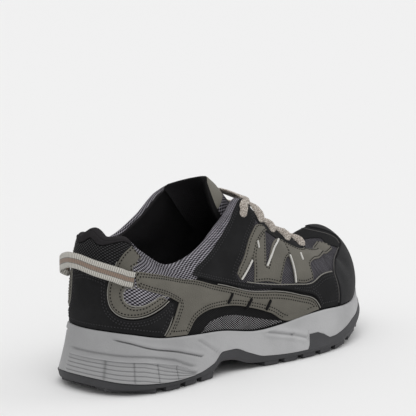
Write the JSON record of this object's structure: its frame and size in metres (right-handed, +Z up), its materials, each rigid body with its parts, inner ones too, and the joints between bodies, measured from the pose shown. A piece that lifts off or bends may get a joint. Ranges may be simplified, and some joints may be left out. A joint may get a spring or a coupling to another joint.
{
  "type": "safety sneaker",
  "caption": "Low lace-up safety sneaker for the right foot, with a padded collar, mesh and leather upper, toe bumper, foam midsole and lugged rubber outsole.",
  "frame": {"origin": "the middle of the flat of the heel tread, where it meets the floor", "axes": "+X from heel to toe, +Y to the inner side of the foot, +Z up; the outer side of this right shoe faces -Y"},
  "size_m": [0.2999, 0.1109, 0.1397],
  "materials": {
    "upper_mesh": "grey and black spacer mesh",
    "tongue_cloth": "padded mesh with a taupe top panel",
    "insole_cloth": "black lining cloth",
    "sole_foam": "matt light grey moulded foam",
    "sole_rubber": "matt dark grey rubber",
    "toe_rubber": "smooth dark grey film",
    "black_nubuck": "matt black nubuck",
    "taupe_leather": "fine-grained taupe leather",
    "webbing": "woven cream webbing with a tan stripe",
    "lace_cord": "woven beige lace"
  },
  "bodies": {
    "root": {"upper": "upper_mesh", "tongue": "tongue_cloth", "insole": "insole_cloth", "midsole": "sole_foam", "outsole": "sole_rubber", "toe_bumper": "toe_rubber", "heel_counter": "black_nubuck", "outer_eyestay": "black_nubuck", "inner_eyestay": "black_nubuck", "outer_side_band": "taupe_leather", "inner_side_band": "taupe_leather", "outer_heel_ring": "taupe_leather", "inner_heel_ring": "taupe_leather", "outer_finger_rear": "taupe_leather", "inner_finger_rear": "taupe_leather", "outer_finger_middle": "taupe_leather", "inner_finger_middle": "taupe_leather", "outer_finger_front": "taupe_leather", "inner_finger_front": "taupe_leather", "pull_loop": "webbing", "lace": "lace_cord"}
  },
  "joints": []
}
